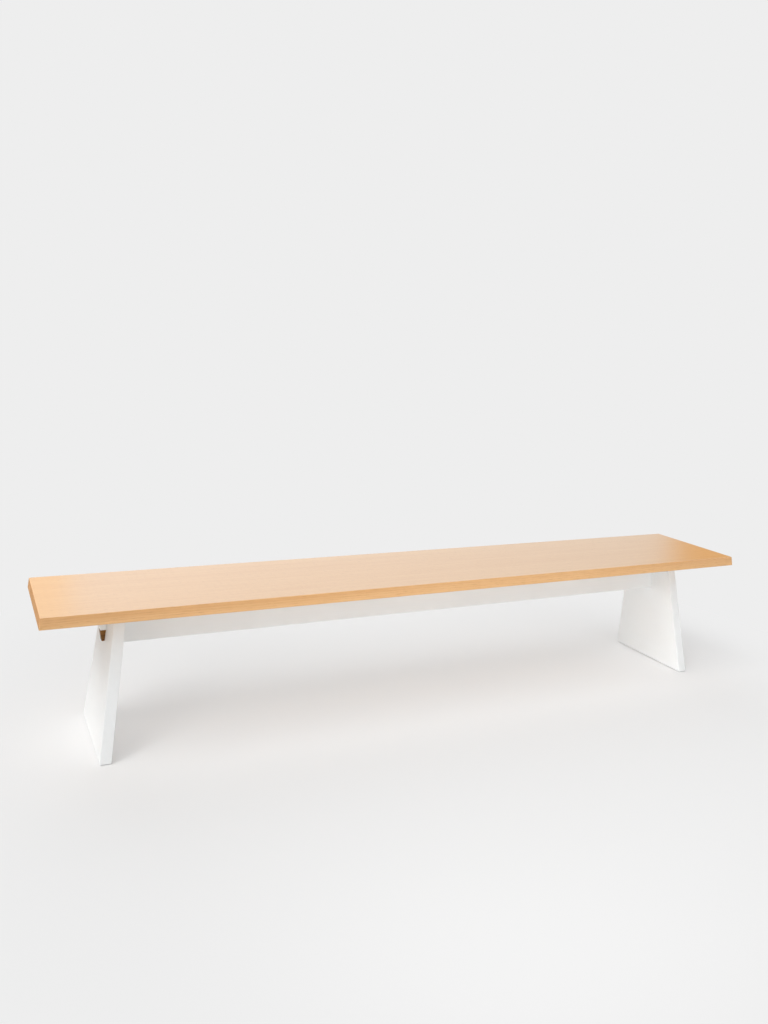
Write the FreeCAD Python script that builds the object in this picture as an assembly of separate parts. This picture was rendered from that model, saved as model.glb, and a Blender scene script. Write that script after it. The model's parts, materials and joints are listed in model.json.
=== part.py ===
import FreeCAD, Part
import math
import os

from FreeCAD import Vector

# Backless bench: a seat panel on two splayed board legs, joined by a rail on edge under the seat.
# Millimetres. X runs along the bench, Y across it, Z up. The origin is on the floor under the bench's centre.
# The pieces of one end are made at +X and mirrored to the other end.

# Seat panel: its length and depth are those of the underside, and its edges slope inward to the top
seat_length = 2453.0
seat_depth = 400.0
seat_thickness = 32.0
seat_height = 450.0
seat_edge_slope_deg = 7.7
seat_edge_round = 2.5

# Legs: boards that lean outward towards the floor and taper towards the seat
leg_thickness = 32.0
leg_depth_floor = 354.0
leg_depth_top = 212.0
leg_splay_deg = 7.7
seat_overhang = 204.0
leg_edge_round = 1.5

# Rail on edge between the legs
rail_thickness = 45.0
rail_height = 120.0
rail_edge_round = 2.0

# Through tenon at each end of the rail, with a half dovetail on its top and a shoulder below the key
tenon_thickness = 24.0
tenon_height = 50.0
tenon_proud = 16.5
lower_shoulder = 6.0
tenon_end_chamfer = 1.5
dovetail_slope = 1.0 / 8.0

# Tapered key that is driven in from outside under the tenon
key_height = 33.0
key_taper = 1.0 / 12.0
key_end_cut_back = 4.0
key_draw_gap = 2.0
key_edge_round = 1.0
mortise_side_gap = 0.3

# Cleats that hold each leg to the seat, one on each side of the rail
cleat_width = 30.0
cleat_height = 34.0
cleat_length = 66.0
cleat_rail_gap = 2.0
cleat_chamfer = 3.0
cleat_seat_screw_spacing = 48.0
cleat_leg_screw_spacing = 18.0

# Dowels between the legs' tops and the seat
dowel_diameter = 10.0
dowel_length = 50.0
dowel_in_seat = 20.0
dowel_spacing = 170.0
dowel_chamfer = 1.0
dowel_end_gap = 1.0

# Hexagon-head wood screws
cleat_screw_diameter = 5.0
cleat_screw_head_width = 8.0
cleat_screw_head_height = 3.5
cleat_seat_screw_length = 55.0
cleat_leg_screw_length = 50.0
bracket_screw_diameter = 4.0
bracket_screw_head_width = 7.0
bracket_screw_head_height = 2.8
bracket_seat_screw_length = 20.0
bracket_rail_screw_length = 16.0
screw_tip_length = 6.0
screw_tip_share = 0.15
screw_hole_gap = 0.1
screw_end_gap = 1.0

# Bent steel angles between the rail and the seat
bracket_plate = 2.0
bracket_reach = 30.0
bracket_drop = 30.0
bracket_width = 20.0
bracket_bend_radius = 1.5
bracket_corner_cut = 3.0
bracket_hole_from_end = 11.0
bracket_hole_gap = 0.3
bracket_slot_travel = 8.0
bracket_spacing = 620.0

# Nylon glides under the legs, each held by a nail
glide_diameter = 24.0
glide_height = 3.0
glide_edge_chamfer = 0.8
glide_from_leg_edge = 30.0
nail_diameter = 2.2
nail_head_diameter = 7.0
nail_head_height = 1.0
nail_head_sink = 0.6
nail_length = 16.0

# Flats in place of a round surface on hidden shanks, dowels and their holes, and on the glides' rims
rod_sides = 12
glide_sides = 36
hexagon = 6

# Worked out from the sizes above
seat_underside = seat_height - seat_thickness
splay = math.radians(leg_splay_deg)
splay_run = math.tan(splay)
leg_run = leg_thickness / math.cos(splay)
leg_top_outer = seat_length / 2 - seat_overhang
rail_bottom = seat_underside - rail_height
key_bottom = rail_bottom + lower_shoulder
tenon_bottom = key_bottom + key_height
tenon_top = tenon_bottom + tenon_height
same_place = 1e-4
up = Vector(0, 0, 1)
outward = Vector(1, 0, 0)
centre = Vector(0, 0, 0)


def leg_outer(z):
    """X of the leg's outer face at a height."""
    return leg_top_outer + (seat_underside - z) * splay_run


def leg_inner(z):
    """X of the leg's inner face at a height."""
    return leg_outer(z) - leg_run


def leg_half_depth(z):
    """Half of the leg's size along Y at a height."""
    fall = (seat_underside - z) / (seat_underside - glide_height)
    return (leg_depth_top + (leg_depth_floor - leg_depth_top) * fall) / 2


def prism_y(outline, y_low, y_high):
    """Solid between two Y values, with an outline given as (x, z) points."""
    corners = [Vector(x, y_low, z) for x, z in outline]
    face = Part.Face(Part.makePolygon(corners + corners[:1]))
    return face.extrude(Vector(0, y_high - y_low, 0))


def prism_x(outline, x_low, x_high):
    """Solid between two X values, with an outline given as (y, z) points."""
    corners = [Vector(x_low, y, z) for y, z in outline]
    face = Part.Face(Part.makePolygon(corners + corners[:1]))
    return face.extrude(Vector(x_high - x_low, 0, 0))


def edges_where(shape, test):
    """The edges whose end points all pass a test."""
    return [e for e in shape.Edges if all(test(v.Point) for v in e.Vertexes)]


def near(a, b):
    """Whether two coordinates of the same place agree."""
    return abs(a - b) < same_place


def placed(shape, point, direction):
    """The shape turned from +Z to a direction and moved from the origin to a point."""
    copy = shape.copy()
    copy.Placement = FreeCAD.Placement(point, FreeCAD.Rotation(up, direction))
    return copy


def other_end(shape):
    """The same piece at the bench's other end."""
    return shape.mirror(centre, outward)


def other_side(shape):
    """The same piece on the other side of the rail."""
    return shape.mirror(centre, Vector(0, 1, 0))


def both_ends(shapes):
    """Pieces of the +X end, followed by their twins at the -X end."""
    return shapes + [other_end(s) for s in shapes]


def both_sides(shapes):
    """Pieces on the -Y side, followed by their twins on the +Y side."""
    return shapes + [other_side(s) for s in shapes]


def rod(rings, sides=rod_sides):
    """Straight-sided rod along Z through regular polygons, given as (corner radius, z) pairs."""
    wires = []
    for radius, z in rings:
        turns = [2 * math.pi * i / sides for i in range(sides)]
        corners = [Vector(radius * math.cos(a), radius * math.sin(a), z) for a in turns]
        wires.append(Part.makePolygon(corners + corners[:1]))
    return Part.makeLoft(wires, True, True)


def rod_hole(radius, z_low, z_high):
    """Hole whose flats clear a rod of a radius by the screw hole's gap."""
    corner = (radius + screw_hole_gap) / math.cos(math.pi / rod_sides)
    return rod([(corner, z_low), (corner, z_high)])


# Fasteners, made along +Z with the head's underside at the origin


def screw(diameter, head_width, head_height, length):
    """Hexagon-head wood screw with a pointed end."""
    radius = diameter / 2
    head_corner = head_width / 2 / math.cos(math.pi / hexagon)
    head = rod([(head_corner, -head_height), (head_corner, 0)], hexagon)
    shank = rod([(radius, 0), (radius, length - screw_tip_length), (radius * screw_tip_share, length)])
    return head.fuse(shank).removeSplitter().Solids[0]


def cleat_screw(length):
    """Screw of the size that holds the cleats."""
    return screw(cleat_screw_diameter, cleat_screw_head_width, cleat_screw_head_height, length)


def bracket_screw(length):
    """Screw of the size that holds the brackets."""
    return screw(bracket_screw_diameter, bracket_screw_head_width, bracket_screw_head_height, length)


def screw_hole(diameter, length):
    """Pilot hole that clears a screw's shank and its end."""
    return rod_hole(diameter / 2, 0, length + screw_end_gap)


def nail():
    """Flat-headed nail."""
    head = rod([(nail_head_diameter / 2, -nail_head_height), (nail_head_diameter / 2, 0)])
    shank = rod([(nail_diameter / 2, 0), (nail_diameter / 2, nail_length)])
    return head.fuse(shank).removeSplitter().Solids[0]


# Places that more than one piece shares


def cleat_y_mid():
    """Y of the middle of a cleat on the -Y side."""
    return -(rail_thickness / 2 + cleat_rail_gap + cleat_length / 2)


def cleat_seat_screw_places():
    """Head seats of the screws that go up through the -Y cleat at +X."""
    x = leg_inner(seat_underside) - cleat_width / 2
    z = seat_underside - cleat_height
    offsets = (-cleat_seat_screw_spacing / 2, cleat_seat_screw_spacing / 2)
    return [Vector(x, cleat_y_mid() + dy, z) for dy in offsets]


def cleat_leg_screw_places():
    """Head seats of the screws that go outward through the -Y cleat at +X."""
    x = leg_inner(seat_underside) - cleat_width
    z = seat_underside - cleat_height / 2
    offsets = (-cleat_leg_screw_spacing / 2, cleat_leg_screw_spacing / 2)
    return [Vector(x, cleat_y_mid() + dy, z) for dy in offsets]


def dowel_places():
    """Where the dowels of the +X leg cross the joint with the seat."""
    x = leg_outer(seat_underside) - leg_run / 2 + dowel_lean()
    return [Vector(x, y, seat_underside) for y in (-dowel_spacing / 2, dowel_spacing / 2)]


def dowel_lean():
    """Shift that centres an upright dowel in the leaning board over its depth in the leg."""
    return (dowel_length - dowel_in_seat) * splay_run / 2


def bracket_places():
    """X of the brackets' middles."""
    return {"left": -bracket_spacing, "middle": 0.0, "right": bracket_spacing}


def bracket_rail_screw_place(x):
    """Head seat of the screw that goes into the rail from the -Y side."""
    z = seat_underside - bracket_drop + bracket_hole_from_end
    return Vector(x, -(rail_thickness / 2 + bracket_plate), z)


def bracket_seat_screw_place(x):
    """Head seat of the screw that goes up into the seat on the -Y side."""
    y = -(rail_thickness / 2 + bracket_reach - bracket_hole_from_end)
    return Vector(x, y, seat_underside - bracket_plate)


def glide_places():
    """Middles of the glides' tops under the +X leg."""
    x = leg_outer(glide_height) - leg_run / 2
    y = leg_depth_floor / 2 - glide_from_leg_edge
    return [Vector(x, -y, glide_height), Vector(x, y, glide_height)]


def nail_seat(place):
    """Where a nail's head bears in its glide."""
    return place - up * (glide_height - nail_head_sink - nail_head_height)


# The wedged joint, in the XZ plane of the +X end


def tenon_end_x():
    """X of the tenon's plumb end, measured from the leg at the tenon's lower edge."""
    return leg_outer(tenon_bottom) + tenon_proud


def tenon_top_z(x):
    """Height of the tenon's dovetailed top, which rises outward from the shoulder."""
    return tenon_top + (x - leg_inner(tenon_top)) * dovetail_slope


def key_inner_x():
    """X of the key's square inner end."""
    return leg_inner(key_bottom) + key_draw_gap


def key_outer_x():
    """X of the key's outer end at its lower edge; its upper edge is flush with the tenon's end."""
    return tenon_end_x() - key_end_cut_back


def key_bottom_z(x):
    """Height of the key's lower face, which rises inward."""
    return key_bottom + (key_outer_x() - x) * key_taper


def mortise():
    """Through mortise for the tenon and the key, run past both faces of the leg."""
    x_low = leg_inner(seat_underside) - leg_run
    x_high = leg_outer(rail_bottom) + leg_run
    outline = [
        (x_low, key_bottom_z(x_low)),
        (x_high, key_bottom_z(x_high)),
        (x_high, tenon_top_z(x_high)),
        (x_low, tenon_top_z(x_low)),
    ]
    half = tenon_thickness / 2 + mortise_side_gap
    return prism_y(outline, -half, half)


def tenon():
    """Tenon with a plumb chamfered end, run into the rail by the leg's thickness."""
    x_low = leg_inner(seat_underside) - leg_run
    x_end = tenon_end_x()
    outline = [
        (x_low, tenon_bottom),
        (x_end, tenon_bottom),
        (x_end, tenon_top_z(x_end)),
        (x_low, tenon_top_z(x_low)),
    ]
    solid = prism_y(outline, -tenon_thickness / 2, tenon_thickness / 2)
    end_edges = edges_where(solid, lambda p: near(p.x, x_end))
    return solid.makeChamfer(tenon_end_chamfer, end_edges)


def key():
    """Tapered key: level top under the tenon, rising lower face, outer end cut back towards the leg."""
    x_in = key_inner_x()
    outline = [
        (x_in, tenon_bottom),
        (tenon_end_x(), tenon_bottom),
        (key_outer_x(), key_bottom),
        (x_in, key_bottom_z(x_in)),
    ]
    solid = prism_y(outline, -tenon_thickness / 2, tenon_thickness / 2)
    end_edges = edges_where(solid, lambda p: p.x > leg_outer(key_bottom))
    return solid.makeFillet(key_edge_round, end_edges)


# Wooden pieces


def seat_section(width):
    """Outline across the seat, as wide as given at the underside and narrower at the top."""
    low = width / 2
    high = low - seat_thickness * math.tan(math.radians(seat_edge_slope_deg))
    return [(-low, seat_underside), (low, seat_underside), (high, seat_height), (-high, seat_height)]


def seat_panel():
    """Panel with sloped and eased edges, drilled from below for the dowels and screws."""
    lengthwise = prism_y(seat_section(seat_length), -seat_depth / 2, seat_depth / 2)
    crosswise = prism_x(seat_section(seat_depth), -seat_length / 2, seat_length / 2)
    solid = lengthwise.common(crosswise).Solids[0]
    solid = solid.makeFillet(seat_edge_round, solid.Edges)
    dowel_hole = rod_hole(dowel_diameter / 2, 0, dowel_in_seat + dowel_end_gap)
    holes = [placed(dowel_hole, p, up) for p in dowel_places()]
    cleat_hole = screw_hole(cleat_screw_diameter, cleat_seat_screw_length)
    holes += both_sides([placed(cleat_hole, p, up) for p in cleat_seat_screw_places()])
    holes = both_ends(holes)
    bracket_hole = screw_hole(bracket_screw_diameter, bracket_seat_screw_length)
    for x in bracket_places().values():
        holes += both_sides([placed(bracket_hole, bracket_seat_screw_place(x), up)])
    return solid.cut(holes)


def rail():
    """Board on edge with sloped shoulders and a through tenon at each end."""
    outline = [
        (-leg_inner(seat_underside), seat_underside),
        (-leg_inner(rail_bottom), rail_bottom),
        (leg_inner(rail_bottom), rail_bottom),
        (leg_inner(seat_underside), seat_underside),
    ]
    board = prism_y(outline, -rail_thickness / 2, rail_thickness / 2)
    lower_edges = edges_where(board, lambda p: near(p.z, rail_bottom))
    long_edges = [e for e in lower_edges if e.Length > rail_thickness]
    board = board.makeFillet(rail_edge_round, long_edges)
    board = board.fuse(both_ends([tenon()])).removeSplitter()
    hole = screw_hole(bracket_screw_diameter, bracket_rail_screw_length)
    inward = Vector(0, 1, 0)
    holes = []
    for x in bracket_places().values():
        holes += both_sides([placed(hole, bracket_rail_screw_place(x), inward)])
    return board.cut(holes)


def leg_right():
    """Leaning board with a tapered outline, level top and foot, a mortise and the fixing holes."""
    foot = glide_height
    section = [
        (leg_inner(seat_underside), seat_underside),
        (leg_outer(seat_underside), seat_underside),
        (leg_outer(foot), foot),
        (leg_inner(foot), foot),
    ]
    front = [
        (-leg_half_depth(seat_underside), seat_underside),
        (leg_half_depth(seat_underside), seat_underside),
        (leg_half_depth(foot), foot),
        (-leg_half_depth(foot), foot),
    ]
    board = prism_y(section, -leg_depth_floor, leg_depth_floor)
    board = board.common(prism_x(front, leg_inner(seat_underside) - leg_run, leg_outer(foot) + leg_run))
    top_edges = edges_where(board, lambda p: near(p.z, seat_underside))
    eased = [e for e in board.Edges if not any(e.isSame(t) for t in top_edges)]
    board = board.makeFillet(leg_edge_round, eased)
    dowel_hole = rod_hole(dowel_diameter / 2, dowel_in_seat - dowel_length - dowel_end_gap, 0)
    holes = [placed(dowel_hole, p, up) for p in dowel_places()]
    cleat_hole = screw_hole(cleat_screw_diameter, cleat_leg_screw_length)
    holes += both_sides([placed(cleat_hole, p, outward) for p in cleat_leg_screw_places()])
    nail_hole = screw_hole(nail_diameter, nail_length)
    holes += [placed(nail_hole, nail_seat(p), up) for p in glide_places()]
    return board.cut([mortise()] + holes)


def cleat():
    """Cleat at the +X end on the -Y side, sloped to the leg and drilled for its four screws."""
    x_top = leg_inner(seat_underside)
    x_face = x_top - cleat_width
    z_low = seat_underside - cleat_height
    outline = [(x_top, seat_underside), (x_face, seat_underside), (x_face, z_low), (leg_inner(z_low), z_low)]
    y_mid = cleat_y_mid()
    block = prism_y(outline, y_mid - cleat_length / 2, y_mid + cleat_length / 2)
    nose = edges_where(block, lambda p: near(p.x, x_face) and near(p.z, z_low))
    block = block.makeChamfer(cleat_chamfer, nose)
    hole = screw_hole(cleat_screw_diameter, cleat_width + cleat_height)
    cuts = [placed(hole, p, up) for p in cleat_seat_screw_places()]
    cuts += [placed(hole, p, outward) for p in cleat_leg_screw_places()]
    return block.cut(cuts)


def dowel():
    """Dowel with chamfered ends, across the joint at the origin."""
    radius = dowel_diameter / 2
    z_low = dowel_in_seat - dowel_length
    nose = radius - dowel_chamfer
    rings = [(nose, z_low), (radius, z_low + dowel_chamfer)]
    rings += [(radius, dowel_in_seat - dowel_chamfer), (nose, dowel_in_seat)]
    return rod(rings)


# Metal and plastic pieces


def bracket(x):
    """Bent angle on the -Y side, with a screw hole at the rail and a slot across the seat's grain."""
    y_rail = -rail_thickness / 2
    outline = [
        (y_rail, seat_underside),
        (y_rail - bracket_reach, seat_underside),
        (y_rail - bracket_reach, seat_underside - bracket_plate),
        (y_rail - bracket_plate, seat_underside - bracket_plate),
        (y_rail - bracket_plate, seat_underside - bracket_drop),
        (y_rail, seat_underside - bracket_drop),
    ]
    angle = prism_x(outline, x - bracket_width / 2, x + bracket_width / 2)
    z_in = seat_underside - bracket_plate
    outer_bend = edges_where(angle, lambda p: near(p.y, y_rail) and near(p.z, seat_underside))
    angle = angle.makeFillet(bracket_bend_radius + bracket_plate, outer_bend)
    inner_bend = edges_where(angle, lambda p: near(p.y, y_rail - bracket_plate) and near(p.z, z_in))
    angle = angle.makeFillet(bracket_bend_radius, inner_bend)
    corners = [e for e in angle.Edges if near(e.Length, bracket_plate)]
    angle = angle.makeChamfer(bracket_corner_cut, corners)
    radius = bracket_screw_diameter / 2 + bracket_hole_gap
    rail_hole = rod([(radius, 0), (radius, bracket_plate)])
    slot = Part.makeBox(2 * radius, bracket_slot_travel, bracket_plate)
    slot.translate(Vector(-radius, -bracket_slot_travel / 2, 0))
    for y in (-bracket_slot_travel / 2, bracket_slot_travel / 2):
        slot = slot.fuse(Part.makeCylinder(radius, bracket_plate, Vector(0, y, 0)))
    cuts = [
        placed(rail_hole, bracket_rail_screw_place(x), Vector(0, 1, 0)),
        placed(slot, bracket_seat_screw_place(x), up),
    ]
    return angle.cut(cuts)


def glide(place):
    """Round glide with a chamfered foot and a sunk seat for its nail."""
    rim = glide_diameter / 2
    foot = -glide_height
    rings = [(rim - glide_edge_chamfer, foot), (rim, foot + glide_edge_chamfer), (rim, 0)]
    disc = placed(rod(rings, glide_sides), place, up)
    seat = nail_seat(place)
    pocket = rod_hole(nail_head_diameter / 2, -seat.z, 0)
    hole = rod_hole(nail_diameter / 2, 0, glide_height)
    return disc.cut([placed(pocket, seat, up), placed(hole, seat, up)])


# Groups of identical fasteners


def cleat_seat_screws():
    """Screws up through the cleats into the seat."""
    one = cleat_screw(cleat_seat_screw_length)
    return both_ends(both_sides([placed(one, p, up) for p in cleat_seat_screw_places()]))


def cleat_leg_screws():
    """Screws through the cleats into the legs."""
    one = cleat_screw(cleat_leg_screw_length)
    return both_ends(both_sides([placed(one, p, outward) for p in cleat_leg_screw_places()]))


def bracket_seat_screws():
    """Screws up through the brackets' slots into the seat."""
    one = bracket_screw(bracket_seat_screw_length)
    return both_sides([placed(one, bracket_seat_screw_place(x), up) for x in bracket_places().values()])


def bracket_rail_screws():
    """Screws through the brackets into the rail."""
    one = bracket_screw(bracket_rail_screw_length)
    inward = Vector(0, 1, 0)
    return both_sides([placed(one, bracket_rail_screw_place(x), inward) for x in bracket_places().values()])


def build():
    """Every piece of the bench by name."""
    pieces = {"seat_panel": seat_panel(), "rail": rail()}
    pieces["leg_right"] = leg_right()
    pieces["leg_left"] = other_end(pieces["leg_right"])
    pieces["key_right"] = key()
    pieces["key_left"] = other_end(pieces["key_right"])
    pieces["cleat_right_front"] = cleat()
    pieces["cleat_right_back"] = other_side(pieces["cleat_right_front"])
    pieces["cleat_left_front"] = other_end(pieces["cleat_right_front"])
    pieces["cleat_left_back"] = other_end(pieces["cleat_right_back"])
    pieces["seat_dowels"] = Part.makeCompound(both_ends([placed(dowel(), p, up) for p in dowel_places()]))
    pieces["cleat_seat_screws"] = Part.makeCompound(cleat_seat_screws())
    pieces["cleat_leg_screws"] = Part.makeCompound(cleat_leg_screws())
    for name, x in bracket_places().items():
        pieces["bracket_front_" + name] = bracket(x)
        pieces["bracket_back_" + name] = other_side(pieces["bracket_front_" + name])
    pieces["bracket_seat_screws"] = Part.makeCompound(bracket_seat_screws())
    pieces["bracket_rail_screws"] = Part.makeCompound(bracket_rail_screws())
    for name, place in zip(("front", "back"), glide_places()):
        pieces["glide_right_" + name] = glide(place)
        pieces["glide_left_" + name] = other_end(pieces["glide_right_" + name])
    nails = [placed(nail(), nail_seat(p), up) for p in glide_places()]
    pieces["glide_nails"] = Part.makeCompound(both_ends(nails))
    return pieces


os.makedirs("parts", exist_ok=True)
for name, shape in build().items():
    shape.exportStep("parts/" + name + ".step")
    box = shape.BoundBox
    print(name, "solids", len(shape.Solids), "valid", shape.isValid(), "volume", round(shape.Volume, 1))
    print("   from", (round(box.XMin, 2), round(box.YMin, 2), round(box.ZMin, 2)))
    print("   to  ", (round(box.XMax, 2), round(box.YMax, 2), round(box.ZMax, 2)))
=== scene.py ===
import json
import math

import bpy
from mathutils import Matrix, Vector


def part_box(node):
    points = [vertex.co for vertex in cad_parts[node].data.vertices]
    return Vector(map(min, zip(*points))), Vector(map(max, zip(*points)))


# Looks of a backless bench: a lacquered wooden seat on white board legs and a white rail, with dark
# wooden draw keys. Metres. X runs along the bench, Y across it, Z up, with the origin on the floor.

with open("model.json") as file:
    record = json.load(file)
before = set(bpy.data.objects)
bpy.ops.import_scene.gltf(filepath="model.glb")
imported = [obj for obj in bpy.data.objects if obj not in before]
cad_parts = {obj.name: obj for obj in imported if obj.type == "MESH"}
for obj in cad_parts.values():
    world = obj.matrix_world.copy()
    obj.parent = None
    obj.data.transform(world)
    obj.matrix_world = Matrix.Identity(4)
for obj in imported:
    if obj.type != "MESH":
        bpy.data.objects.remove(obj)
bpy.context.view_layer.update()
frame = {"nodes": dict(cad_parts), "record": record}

# Camera, fitted to the corners and edges of the bench in the photograph
camera_place = (-1.38019, -2.48990, 1.215941)
camera_yaw_deg = 26.169
camera_pitch_deg = 11.665
camera_roll_deg = 2.96
camera_focal_pixels = 870.6
picture_height = 1024
sensor_size = 36.0

# Studio
backdrop_colour = (0.855, 0.855, 0.855, 1)
reflected_colour = (1.0, 1.0, 1.0, 1)
ambient_colour = (1, 1, 1, 1)
ambient_level = 0.17

# Each soft light is a bright disc far away. Its azimuth counts from the left end's side to the front.
soft_lights = {
    "left_light": {"azimuth_deg": 12, "elevation_deg": 55, "spread_deg": 30, "strength": 1.30},
    "low_front_left_light": {"azimuth_deg": 40, "elevation_deg": 20, "spread_deg": 30, "strength": 0.34},
    "front_left_light": {"azimuth_deg": 40, "elevation_deg": 40, "spread_deg": 30, "strength": 0.86},
    "front_light": {"azimuth_deg": 85, "elevation_deg": 30, "spread_deg": 30, "strength": 0.16},
    "back_light": {"azimuth_deg": 270, "elevation_deg": 45, "spread_deg": 40, "strength": 0.60},
}

# Soft panel lights close by, hidden from the camera, that fill in the rail and the right leg's inner face
fill_lights = {
    "front_fill_light": {
        "place": (-0.9, -2.3, 0.36),
        "aim": (1.0, 0.0, 0.27),
        "width": 1.0,
        "height": 0.5,
        "power": 6.4,
        "spread_deg": 110,
    },
    "back_fill_light": {
        "place": (-0.65, 2.35, 0.40),
        "aim": (1.05, 0.1, 0.20),
        "width": 0.8,
        "height": 0.4,
        "power": 2.3,
        "spread_deg": 70,
    },
}

# Floor: how much of it is plain to the camera, from what distance it fades into the backdrop, and how
# far and how deep a narrow gap keeps it dark
floor_colour = (0.90, 0.90, 0.90, 1)
floor_size = 60.0
floor_drop = 0.0002
floor_plain_share = 0.50
floor_fade_start = 1.05
floor_fade_end = 1.8
floor_gap_reach = 0.02
floor_gap_depth = 0.55

# Cards in a row behind the bench, which only reflections show.
# Each fades from the colour at its left end to the one at its right end.
warm_card = (1.40, 1.02, 0.72, 1)
pale_card = (1.24, 1.16, 1.12, 1)
grey_card = (0.80, 0.80, 0.80, 1)
orange_card = (0.72, 0.34, 0.10, 1)
cards = {
    "left_card": {"edges": (-6.0, -0.98), "left": warm_card, "right": warm_card},
    "middle_card": {"edges": (-0.98, 2.50), "left": pale_card, "right": grey_card},
    "fading_card": {"edges": (2.50, 2.74), "left": grey_card, "right": orange_card},
    "right_card": {"edges": (2.74, 8.0), "left": orange_card, "right": orange_card},
}
card_distance = 1.5
card_height = 3.0

# Noise of wood grain, and the range of grey levels that most noises are spread over
grain_noise = {"detail": 3.0, "roughness": 0.6}
grey_range = (0.3, 0.7)

# Colours of the seat's wood. Its edges carry painted shade: a darker tone whose share grows from the
# underside to the top.
seat_light = (0.845, 0.542, 0.272, 1)
seat_dark = (0.725, 0.400, 0.158, 1)
seat_pore = (0.45, 0.21, 0.07, 1)
seat_edge_shade_tone = (0.56, 0.25, 0.080, 1)
seat_edge_shade_low = 0.15
seat_edge_shade_high = 0.42
seat_edge_shade_drift = 0.03
seat_end_tone = (0.40, 0.19, 0.07, 1)
seat_end_share = 0.55

# Rings of the seat's wood: their distance, their slant to the board and how far they wander
ring_period = 0.0042
ring_slant = 0.7071
ring_sharpness = 2.2
ring_drift = 0.030
ring_drift_stretch = (0.7, 5.0, 5.0)
ring_drift_noise = {"detail": 3.0}

# Bands, streaks and pores of the seat's wood, drawn out along X
band_stretch = (0.5, 28.0, 28.0)
streak_stretch = (5.0, 260.0, 260.0)
pore_stretch = (45.0, 1900.0, 1900.0)
pore_noise = {"detail": 0.0}
pore_range = (0.62, 0.74)
pore_share_between_rings = 0.25
pore_share_in_rings = 0.6
ring_share = 0.22
band_share = 0.36
streak_share = 0.42

# Lacquer of the seat, how far a face must turn to count as an end or as flat, and the grain's height
seat_roughness = 0.30
end_grain_roughness = 0.85
end_turn_range = (0.6, 0.95)
flat_turn_range = (0.4, 0.9)
seat_streak_height = 0.4
seat_bump = {"bump_distance": 0.00006, "bump_strength": 0.35}

# Wood of the keys
key_light = (0.250, 0.112, 0.024, 1)
key_dark = (0.105, 0.046, 0.008, 1)
key_roughness = 0.45
key_shine = 0.3
key_streak_stretch = (14.0, 420.0, 420.0)
key_streak_noise = {"detail": 4.0, "roughness": 0.6}
key_band_stretch = (6.0, 90.0, 90.0)
key_streak_share = 0.5
key_band_share = 0.5
key_tone_range = (0.35, 0.65)
bare_wood_bump = {"bump_distance": 0.0001, "bump_strength": 0.4}

# Wood of the dowels
dowel_light = (0.78, 0.62, 0.44, 1)
dowel_dark = (0.62, 0.45, 0.29, 1)
dowel_roughness = 0.6
dowel_stretch = (500.0, 500.0, 20.0)
dowel_noise = {"detail": 3.0}

# White lacquer: its grain, clouds and fine orange peel
white_light = (0.868, 0.885, 0.888, 1)
white_dark = (0.843, 0.860, 0.863, 1)
white_roughness = 0.38
rail_stretch = (6.0, 240.0, 240.0)
leg_stretch = (240.0, 240.0, 6.0)
white_grain_share = 0.4
white_cloud_share = 0.6
white_cloud_noise = {"scale": 4.0}
white_peel_noise = {"scale": 700.0, "detail": 1.0}
white_grain_height = 0.8
white_peel_height = 0.3
white_bump = {"bump_distance": 0.00005, "bump_strength": 0.4}

# Metals
zinc_light = (0.66, 0.67, 0.68, 1)
zinc_dark = (0.52, 0.53, 0.55, 1)
zinc_roughness = 0.32
steel_light = (0.60, 0.60, 0.60, 1)
steel_dark = (0.48, 0.48, 0.48, 1)
steel_roughness = 0.35
metal_noise = {"scale": 260.0, "detail": 4.0}
metal_smoother = 0.06
metal_rougher = 0.08
metal_bump = {"bump_distance": 0.00004, "bump_strength": 0.3}

# Nylon of the glides
nylon_light = (0.74, 0.73, 0.70, 1)
nylon_dark = (0.68, 0.67, 0.64, 1)
nylon_roughness = 0.55
nylon_noise = {"scale": 400.0, "detail": 3.0}
nylon_bump = {"bump_distance": 0.00005, "bump_strength": 0.3}

# Rounding of edges, by how the nodes' names start
edge_rounds = {
    "cleat_left": 0.0006,
    "cleat_right": 0.0006,
    "bracket_front": 0.0004,
    "bracket_back": 0.0004,
    "cleat_seat_screws": 0.0003,
    "cleat_leg_screws": 0.0003,
    "bracket_rail_screws": 0.0002,
    "bracket_seat_screws": 0.0002,
    "glide_left": 0.0004,
    "glide_right": 0.0004,
}
edge_round_steps = 2
edge_round_least_turn_deg = 35
weld_distance = 1e-6


# Building blocks of node trees


def start_material(name):
    """A new material with its node tree emptied, but for the output."""
    material = bpy.data.materials.new(name)
    material.use_nodes = True
    tree = material.node_tree
    tree.nodes.clear()
    tree.nodes.new("ShaderNodeOutputMaterial")
    return material, tree


def add(tree, kind, inputs=None, **settings):
    """A shader node. Its inputs are values or other nodes' outputs, by name or number."""
    made = tree.nodes.new("ShaderNode" + kind)
    for key, value in settings.items():
        setattr(made, key, value)
    for key, value in (inputs or {}).items():
        if isinstance(value, bpy.types.NodeSocket):
            tree.links.new(value, made.inputs[key])
        else:
            made.inputs[key].default_value = value
    return made


def maths(tree, operation, first, second=0.0):
    """Output of a Math node."""
    return add(tree, "Math", {0: first, 1: second}, operation=operation).outputs[0]


def plus(tree, first, second):
    """Sum of two values."""
    return maths(tree, "ADD", first, second)


def minus(tree, first, second):
    """First value less the second."""
    return maths(tree, "SUBTRACT", first, second)


def times(tree, first, second):
    """Product of two values."""
    return maths(tree, "MULTIPLY", first, second)


def mix(tree, factor, first, second):
    """Output of a colour mix."""
    return add(tree, "Mix", {0: factor, 6: first, 7: second}, data_type="RGBA").outputs[2]


def ramp(tree, value, start, end, low=0.0, high=1.0):
    """A value from low to high, evenly spread over start to end."""
    return add(tree, "MapRange", {0: value, 1: low, 2: high, 3: start, 4: end}).outputs[0]


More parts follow.
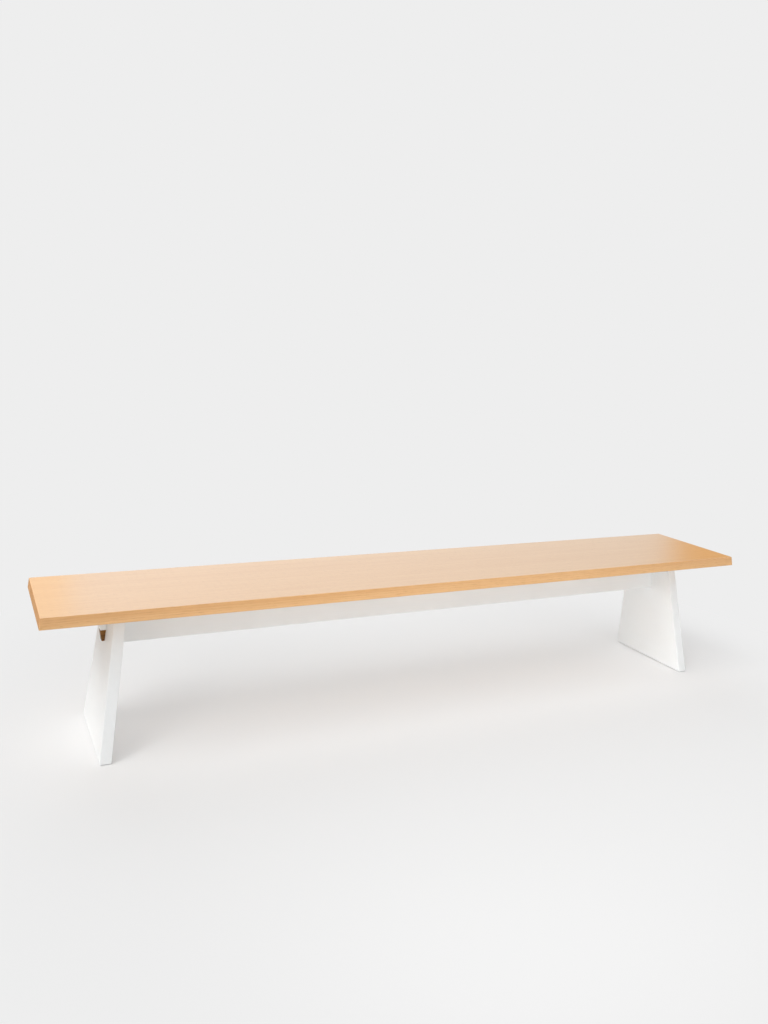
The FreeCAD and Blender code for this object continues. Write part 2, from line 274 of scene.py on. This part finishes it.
def spread(tree, value, low, high, start=0.0, end=1.0):
    """A value from low to high, smoothly spread over start to end."""
    inputs = {0: value, 1: low, 2: high, 3: start, 4: end}
    return add(tree, "MapRange", inputs, interpolation_type="SMOOTHSTEP").outputs[0]


def centred(tree, level, reach):
    """A grey level moved to lie around zero and scaled to a reach."""
    return times(tree, minus(tree, level, 0.5), reach)


def object_place(tree):
    """Coordinates on the object, in metres."""
    return add(tree, "TexCoord").outputs["Object"]


def split(tree, vector):
    """The three parts of a vector."""
    return add(tree, "SeparateXYZ", {0: vector}).outputs


def stretched(tree, coordinates, scale):
    """Coordinates times a scale along each axis."""
    return add(tree, "Mapping", {0: coordinates, 3: scale}).outputs[0]


def noise(tree, coordinates, scale=1.0, detail=2.0, roughness=0.5):
    """Grey level of a noise texture."""
    inputs = {"Vector": coordinates, "Scale": scale, "Detail": detail, "Roughness": roughness}
    return add(tree, "TexNoise", inputs).outputs[0]


def join_output(tree, shader):
    """Joins a shader to the material's output."""
    output = next(n for n in tree.nodes if n.type == "OUTPUT_MATERIAL")
    tree.links.new(shader, output.inputs[0])


def finish_material(tree, inputs, height, bump_distance, bump_strength):
    """Joins a Principled shader with a bump to the output."""
    shader = add(tree, "BsdfPrincipled", inputs)
    bump = add(tree, "Bump", {"Height": height, "Distance": bump_distance, "Strength": bump_strength})
    tree.links.new(bump.outputs[0], shader.inputs["Normal"])
    join_output(tree, shader.outputs[0])


# Materials of the bench


def seat_rings(tree, place):
    """Level of the rings, which lie at a slant through the board and wander a little."""
    drift = noise(tree, stretched(tree, place, ring_drift_stretch), **ring_drift_noise)
    parts = split(tree, place)
    across = times(tree, minus(tree, parts[1], parts[2]), ring_slant)
    across = plus(tree, across, centred(tree, drift, ring_drift))
    turn = times(tree, across, 2 * math.pi / ring_period)
    wave = times(tree, plus(tree, maths(tree, "SINE", turn), 1.0), 0.5)
    return maths(tree, "POWER", wave, ring_sharpness)


def seat_pores(tree, place, rings):
    """Level of the pores, which are denser in the rings."""
    pores = noise(tree, stretched(tree, place, pore_stretch), **pore_noise)
    density = plus(tree, times(tree, rings, pore_share_in_rings), pore_share_between_rings)
    return times(tree, spread(tree, pores, *pore_range), density)


def seat_grain_colour(tree, rings, bands, streaks, pores):
    """Colour of the wood along its grain."""
    tone = times(tree, rings, ring_share)
    tone = plus(tree, tone, times(tree, spread(tree, bands, *grey_range), band_share))
    tone = plus(tree, tone, times(tree, spread(tree, streaks, *grey_range), streak_share))
    colour = mix(tree, tone, seat_light, seat_dark)
    return mix(tree, pores, colour, seat_pore)


def seat_edge_shade_share(tree, place, bands, flat):
    """Share of the painted shade on the panel's edges, which grows from its underside to its top."""
    underside, top = (corner[2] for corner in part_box("seat_panel"))
    level = plus(tree, split(tree, place)[2], centred(tree, bands, seat_edge_shade_drift))
    share = spread(tree, level, underside, top, seat_edge_shade_low, seat_edge_shade_high)
    return times(tree, minus(tree, 1.0, flat), share)


def seat_wood():
    """Straight-grained wood cut at a slant to its rings, under clear semi-gloss lacquer."""
    material, tree = start_material("lacquered_seat_wood")
    place = object_place(tree)
    rings = seat_rings(tree, place)
    bands = noise(tree, stretched(tree, place, band_stretch), **grain_noise)
    streaks = noise(tree, stretched(tree, place, streak_stretch), **grain_noise)
    pores = seat_pores(tree, place, rings)
    facing = split(tree, add(tree, "TexCoord").outputs["Normal"])
    end = spread(tree, maths(tree, "ABSOLUTE", facing[0]), *end_turn_range)
    flat = spread(tree, maths(tree, "ABSOLUTE", facing[2]), *flat_turn_range)
    colour = seat_grain_colour(tree, rings, bands, streaks, pores)
    # Painted shade: the edges are made darker than the top, more so towards their top.
    colour = mix(tree, seat_edge_shade_share(tree, place, bands, flat), colour, seat_edge_shade_tone)
    colour = mix(tree, times(tree, end, seat_end_share), colour, seat_end_tone)
    height = minus(tree, times(tree, streaks, seat_streak_height), pores)
    inputs = {
        "Base Color": colour,
        "Roughness": ramp(tree, end, seat_roughness, end_grain_roughness),
        "Coat Weight": flat,
        "Coat Roughness": seat_roughness,
    }
    finish_material(tree, inputs, height, **seat_bump)
    return material


def white_lacquer(name, stretch):
    """White satin lacquer that lets a little of the wood's grain show; stretch is small along the grain."""
    material, tree = start_material(name)
    place = object_place(tree)
    grain = noise(tree, stretched(tree, place, stretch), **grain_noise)
    cloud = noise(tree, place, **white_cloud_noise)
    tone = plus(tree, times(tree, grain, white_grain_share), times(tree, cloud, white_cloud_share))
    colour = mix(tree, spread(tree, tone, *grey_range), white_light, white_dark)
    peel = noise(tree, place, **white_peel_noise)
    height = plus(tree, times(tree, grain, white_grain_height), times(tree, peel, white_peel_height))
    finish_material(tree, {"Base Color": colour, "Roughness": white_roughness}, height, **white_bump)
    return material


def key_wood():
    """Oiled dark hardwood with its grain along X."""
    material, tree = start_material("dark_hardwood")
    place = object_place(tree)
    streaks = noise(tree, stretched(tree, place, key_streak_stretch), **key_streak_noise)
    bands = noise(tree, stretched(tree, place, key_band_stretch))
    tone = plus(tree, times(tree, streaks, key_streak_share), times(tree, bands, key_band_share))
    colour = mix(tree, spread(tree, tone, *key_tone_range), key_light, key_dark)
    inputs = {"Base Color": colour, "Roughness": key_roughness, "Specular IOR Level": key_shine}
    finish_material(tree, inputs, streaks, **bare_wood_bump)
    return material


def bare_beech():
    """Bare dowel wood, its grain along the dowels."""
    material, tree = start_material("bare_beech")
    streaks = noise(tree, stretched(tree, object_place(tree), dowel_stretch), **dowel_noise)
    colour = mix(tree, streaks, dowel_light, dowel_dark)
    finish_material(tree, {"Base Color": colour, "Roughness": dowel_roughness}, streaks, **bare_wood_bump)
    return material


def metal(name, light, dark, roughness):
    """Bright metal with a faint mottle."""
    material, tree = start_material(name)
    mottle = noise(tree, object_place(tree), **metal_noise)
    colour = mix(tree, spread(tree, mottle, *grey_range), light, dark)
    rough = ramp(tree, mottle, roughness - metal_smoother, roughness + metal_rougher)
    inputs = {"Base Color": colour, "Metallic": 1.0, "Roughness": rough}
    finish_material(tree, inputs, mottle, **metal_bump)
    return material


def nylon():
    """Off-white nylon, matte."""
    material, tree = start_material("glide_nylon_matte")
    mottle = noise(tree, object_place(tree), **nylon_noise)
    colour = mix(tree, mottle, nylon_light, nylon_dark)
    finish_material(tree, {"Base Color": colour, "Roughness": nylon_roughness}, mottle, **nylon_bump)
    return material


def dress(nodes):
    """Gives each CAD node its material."""
    by_slot = {
        "seat_wood": seat_wood(),
        "white_lacquer": white_lacquer("white_lacquer_rail", rail_stretch),
        "key_wood": key_wood(),
        "dowel_wood": bare_beech(),
        "zinc_steel": metal("bright_zinc", zinc_light, zinc_dark, zinc_roughness),
        "plain_steel": metal("bright_steel", steel_light, steel_dark, steel_roughness),
        "glide_nylon": nylon(),
    }
    leg_white = white_lacquer("white_lacquer_legs", leg_stretch)
    for part in frame["record"]["subparts"]:
        mesh = nodes[part["node"]].data
        is_leg = part["node"].startswith("leg_")
        mesh.materials.clear()
        mesh.materials.append(leg_white if is_leg else by_slot[part["material_slot"]])


def soften(node, width):
    """Rounds the sharp edges of a node."""
    weld = node.modifiers.new("weld", "WELD")
    weld.merge_threshold = weld_distance
    bevel = node.modifiers.new("bevel", "BEVEL")
    bevel.width = width
    bevel.segments = edge_round_steps
    bevel.limit_method = "ANGLE"
    bevel.angle_limit = math.radians(edge_round_least_turn_deg)


def soften_pieces(nodes):
    """Rounds the cleats, brackets, screws and glides a little."""
    for start, width in edge_rounds.items():
        for name, node in nodes.items():
            if name.startswith(start):
                soften(node, width)


# Camera and studio


def make_camera():
    """Camera at the photograph's place, turned by yaw, pitch and roll."""
    yaw, pitch, roll = (math.radians(a) for a in (camera_yaw_deg, camera_pitch_deg, camera_roll_deg))
    level = Vector((math.sin(yaw), math.cos(yaw), 0))
    side = Vector((math.cos(yaw), -math.sin(yaw), 0))
    upright = Vector((0, 0, 1))
    ahead = level * math.cos(pitch) - upright * math.sin(pitch)
    top = upright * math.cos(pitch) + level * math.sin(pitch)
    right = side * math.cos(roll) + top * math.sin(roll)
    top = top * math.cos(roll) - side * math.sin(roll)
    data = bpy.data.cameras.new("camera")
    data.sensor_width = sensor_size
    data.lens = camera_focal_pixels * sensor_size / picture_height
    camera = bpy.data.objects.new("camera", data)
    turned = Matrix((right, top, -ahead)).transposed().to_4x4()
    camera.matrix_world = Matrix.Translation(camera_place) @ turned
    bpy.context.scene.collection.objects.link(camera)
    bpy.context.scene.camera = camera


def flat_sheet(name, corners, material):
    """A sheet with four corners that belongs to the studio."""
    mesh = bpy.data.meshes.new(name)
    mesh.from_pydata(corners, [], [(0, 1, 2, 3)])
    mesh.materials.append(material)
    sheet = bpy.data.objects.new(name, mesh)
    bpy.context.scene.collection.objects.link(sheet)
    return sheet


def floor_material():
    """Pale floor that turns into the backdrop further out, and that is partly plain but not in gaps."""
    material, tree = start_material("studio_floor")
    away = add(tree, "VectorMath", {0: object_place(tree)}, operation="LENGTH").outputs["Value"]
    far = spread(tree, away, floor_fade_start, floor_fade_end)
    share = ramp(tree, far, floor_plain_share, 1.0)
    openness = add(tree, "AmbientOcclusion", {"Distance": floor_gap_reach}).outputs["AO"]
    share = times(tree, share, ramp(tree, openness, 1 - floor_gap_depth, 1.0))
    share = times(tree, share, add(tree, "LightPath").outputs["Is Camera Ray"])
    lit = add(tree, "BsdfDiffuse", {"Color": floor_colour}).outputs[0]
    plain = add(tree, "Emission", {"Color": backdrop_colour}).outputs[0]
    join_output(tree, add(tree, "MixShader", {0: share, 1: lit, 2: plain}).outputs[0])
    return material


def make_floor():
    """A wide flat floor just below the bench's feet."""
    half = floor_size / 2
    z = -floor_drop
    corners = [(-half, -half, z), (half, -half, z), (half, half, z), (-half, half, z)]
    flat_sheet("floor", corners, floor_material())


def make_card(name, edges, left, right):
    """An upright sheet that only reflections show, in a colour that fades from left to right."""
    material, tree = start_material(name)
    start, end = edges
    share = ramp(tree, split(tree, object_place(tree))[0], 0.0, 1.0, start, end)
    join_output(tree, add(tree, "Emission", {"Color": mix(tree, share, left, right)}).outputs[0])
    y = card_distance
    corners = [(start, y, 0), (end, y, 0), (end, y, card_height), (start, y, card_height)]
    card = flat_sheet(name, corners, material)
    for kind in ("camera", "diffuse", "shadow", "transmission"):
        setattr(card, "visible_" + kind, False)


def make_world():
    """Even light all round, with a plain backdrop for the camera and for reflections."""
    world = bpy.data.worlds.new("studio")
    world.use_nodes = True
    tree = world.node_tree
    tree.nodes.clear()
    path = add(tree, "LightPath").outputs
    mirrored = maths(tree, "MAXIMUM", path["Is Glossy Ray"], path["Is Transmission Ray"])
    light = add(tree, "Background", {"Color": ambient_colour, "Strength": ambient_level}).outputs[0]
    reflected = add(tree, "Background", {"Color": reflected_colour}).outputs[0]
    plain = add(tree, "Background", {"Color": backdrop_colour}).outputs[0]
    both = add(tree, "MixShader", {0: mirrored, 1: light, 2: reflected}).outputs[0]
    all_three = add(tree, "MixShader", {0: path["Is Camera Ray"], 1: both, 2: plain}).outputs[0]
    output = tree.nodes.new("ShaderNodeOutputWorld")
    tree.links.new(all_three, output.inputs[0])
    bpy.context.scene.world = world


def make_soft_light(name, azimuth_deg, elevation_deg, spread_deg, strength):
    """A bright disc far away that faces the bench, and that reflections don't show."""
    data = bpy.data.lights.new(name, "SUN")
    data.angle = math.radians(spread_deg)
    data.energy = strength
    lamp = bpy.data.objects.new(name, data)
    azimuth = math.radians(azimuth_deg)
    elevation = math.radians(elevation_deg)
    level = math.cos(elevation)
    source = Vector((-level * math.cos(azimuth), -level * math.sin(azimuth), math.sin(elevation)))
    lamp.rotation_euler = source.to_track_quat("Z", "Y").to_euler()
    lamp.visible_glossy = False
    bpy.context.scene.collection.objects.link(lamp)


def make_panel_light(name, place, aim, width, height, power, spread_deg):
    """A glowing rectangle that faces a point, and that neither the camera nor reflections show."""
    data = bpy.data.lights.new(name, "AREA")
    data.shape = "RECTANGLE"
    data.size = width
    data.size_y = height
    data.energy = power
    data.spread = math.radians(spread_deg)
    lamp = bpy.data.objects.new(name, data)
    lamp.location = place
    lamp.rotation_euler = (Vector(aim) - Vector(place)).to_track_quat("-Z", "Y").to_euler()
    lamp.visible_camera = False
    lamp.visible_glossy = False
    bpy.context.scene.collection.objects.link(lamp)


def make_studio():
    """Floor, cards, world and soft lights."""
    make_floor()
    for name, settings in cards.items():
        make_card(name, **settings)
    make_world()
    for name, settings in soft_lights.items():
        make_soft_light(name, **settings)
    for name, settings in fill_lights.items():
        make_panel_light(name, **settings)


dress(frame["nodes"])
soften_pieces(frame["nodes"])
make_camera()
make_studio()
bpy.context.scene.view_settings.view_transform = "Standard"
